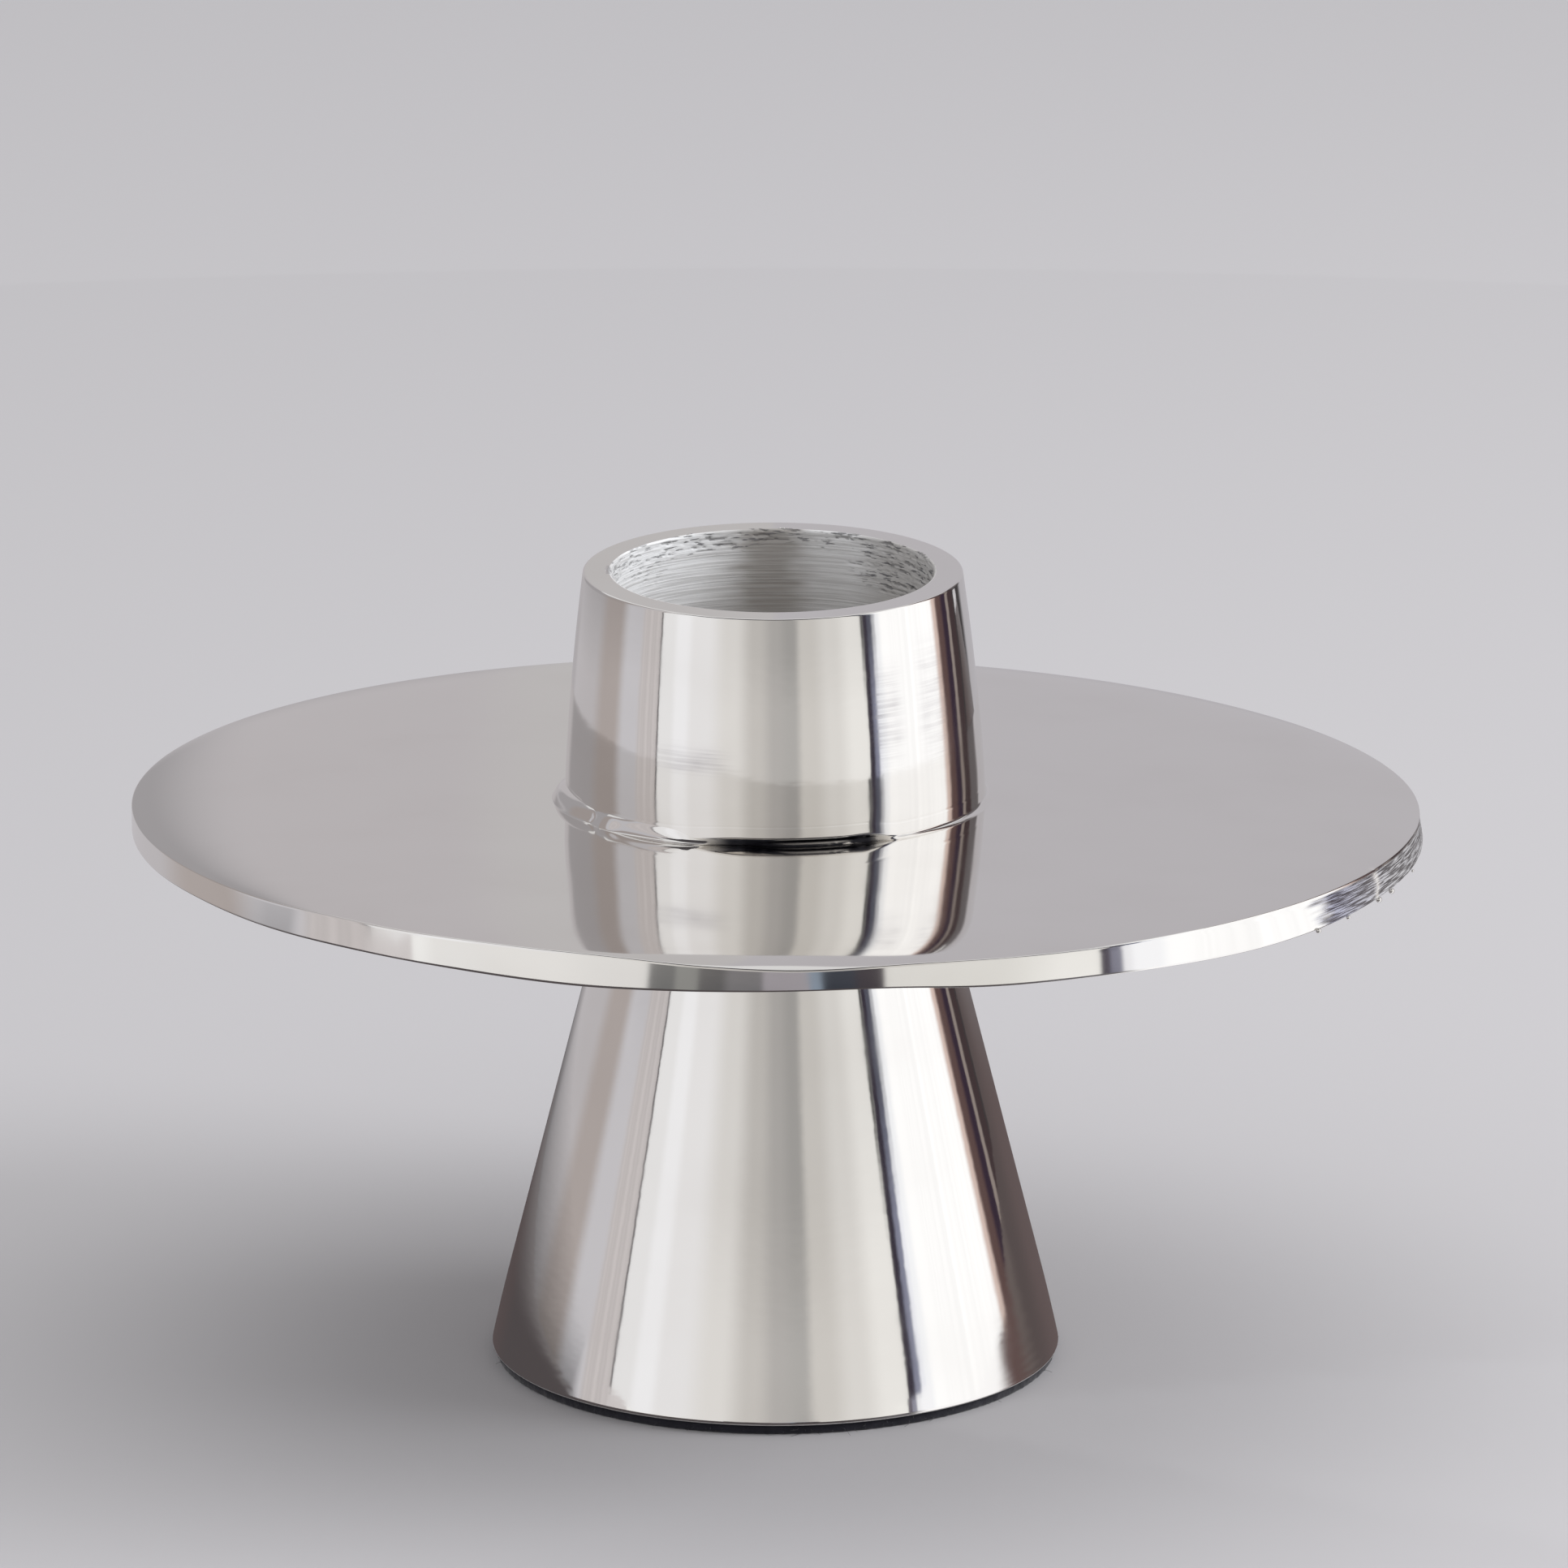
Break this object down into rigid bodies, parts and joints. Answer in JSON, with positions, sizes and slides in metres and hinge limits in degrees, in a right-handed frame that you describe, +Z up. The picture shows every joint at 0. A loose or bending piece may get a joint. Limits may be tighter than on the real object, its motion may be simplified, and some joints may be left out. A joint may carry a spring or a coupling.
{
  "type": "altar candlestick",
  "caption": "Low altar candlestick in polished metal: solid tapered foot, wide flat drip plate and a thick-walled candle cup, drawn together by a hidden tie rod.",
  "frame": {"origin": "centre of the felt's underside, on the table, on the axis of the candlestick", "axes": "+Z up along the axis of the candlestick and out of the candle socket; +X to the right and -Y towards the viewer of the reference picture"},
  "size_m": [0.2084, 0.2084, 0.132],
  "materials": {
    "black_felt": "pressed wool felt, matt black",
    "polished_foot": "mirror polished, with faint polishing lines along the taper",
    "polished_plate": "mirror polished, edge hand-dressed and a little uneven",
    "polished_cup": "mirror polished outside and on the rim, rough as cast inside the socket",
    "filler_metal": "hand-dressed filler metal, smooth but lumpy",
    "zinc_plated_steel": "bright zinc plating"
  },
  "bodies": {
    "root": {"base_felt": "black_felt", "foot_cone": "polished_foot", "drip_plate": "polished_plate", "candle_cup": "polished_cup", "cup_filler_bead": "filler_metal", "tie_rod": "zinc_plated_steel", "flat_washer": "zinc_plated_steel", "spring_washer": "zinc_plated_steel", "hex_nut": "zinc_plated_steel"}
  },
  "joints": []
}
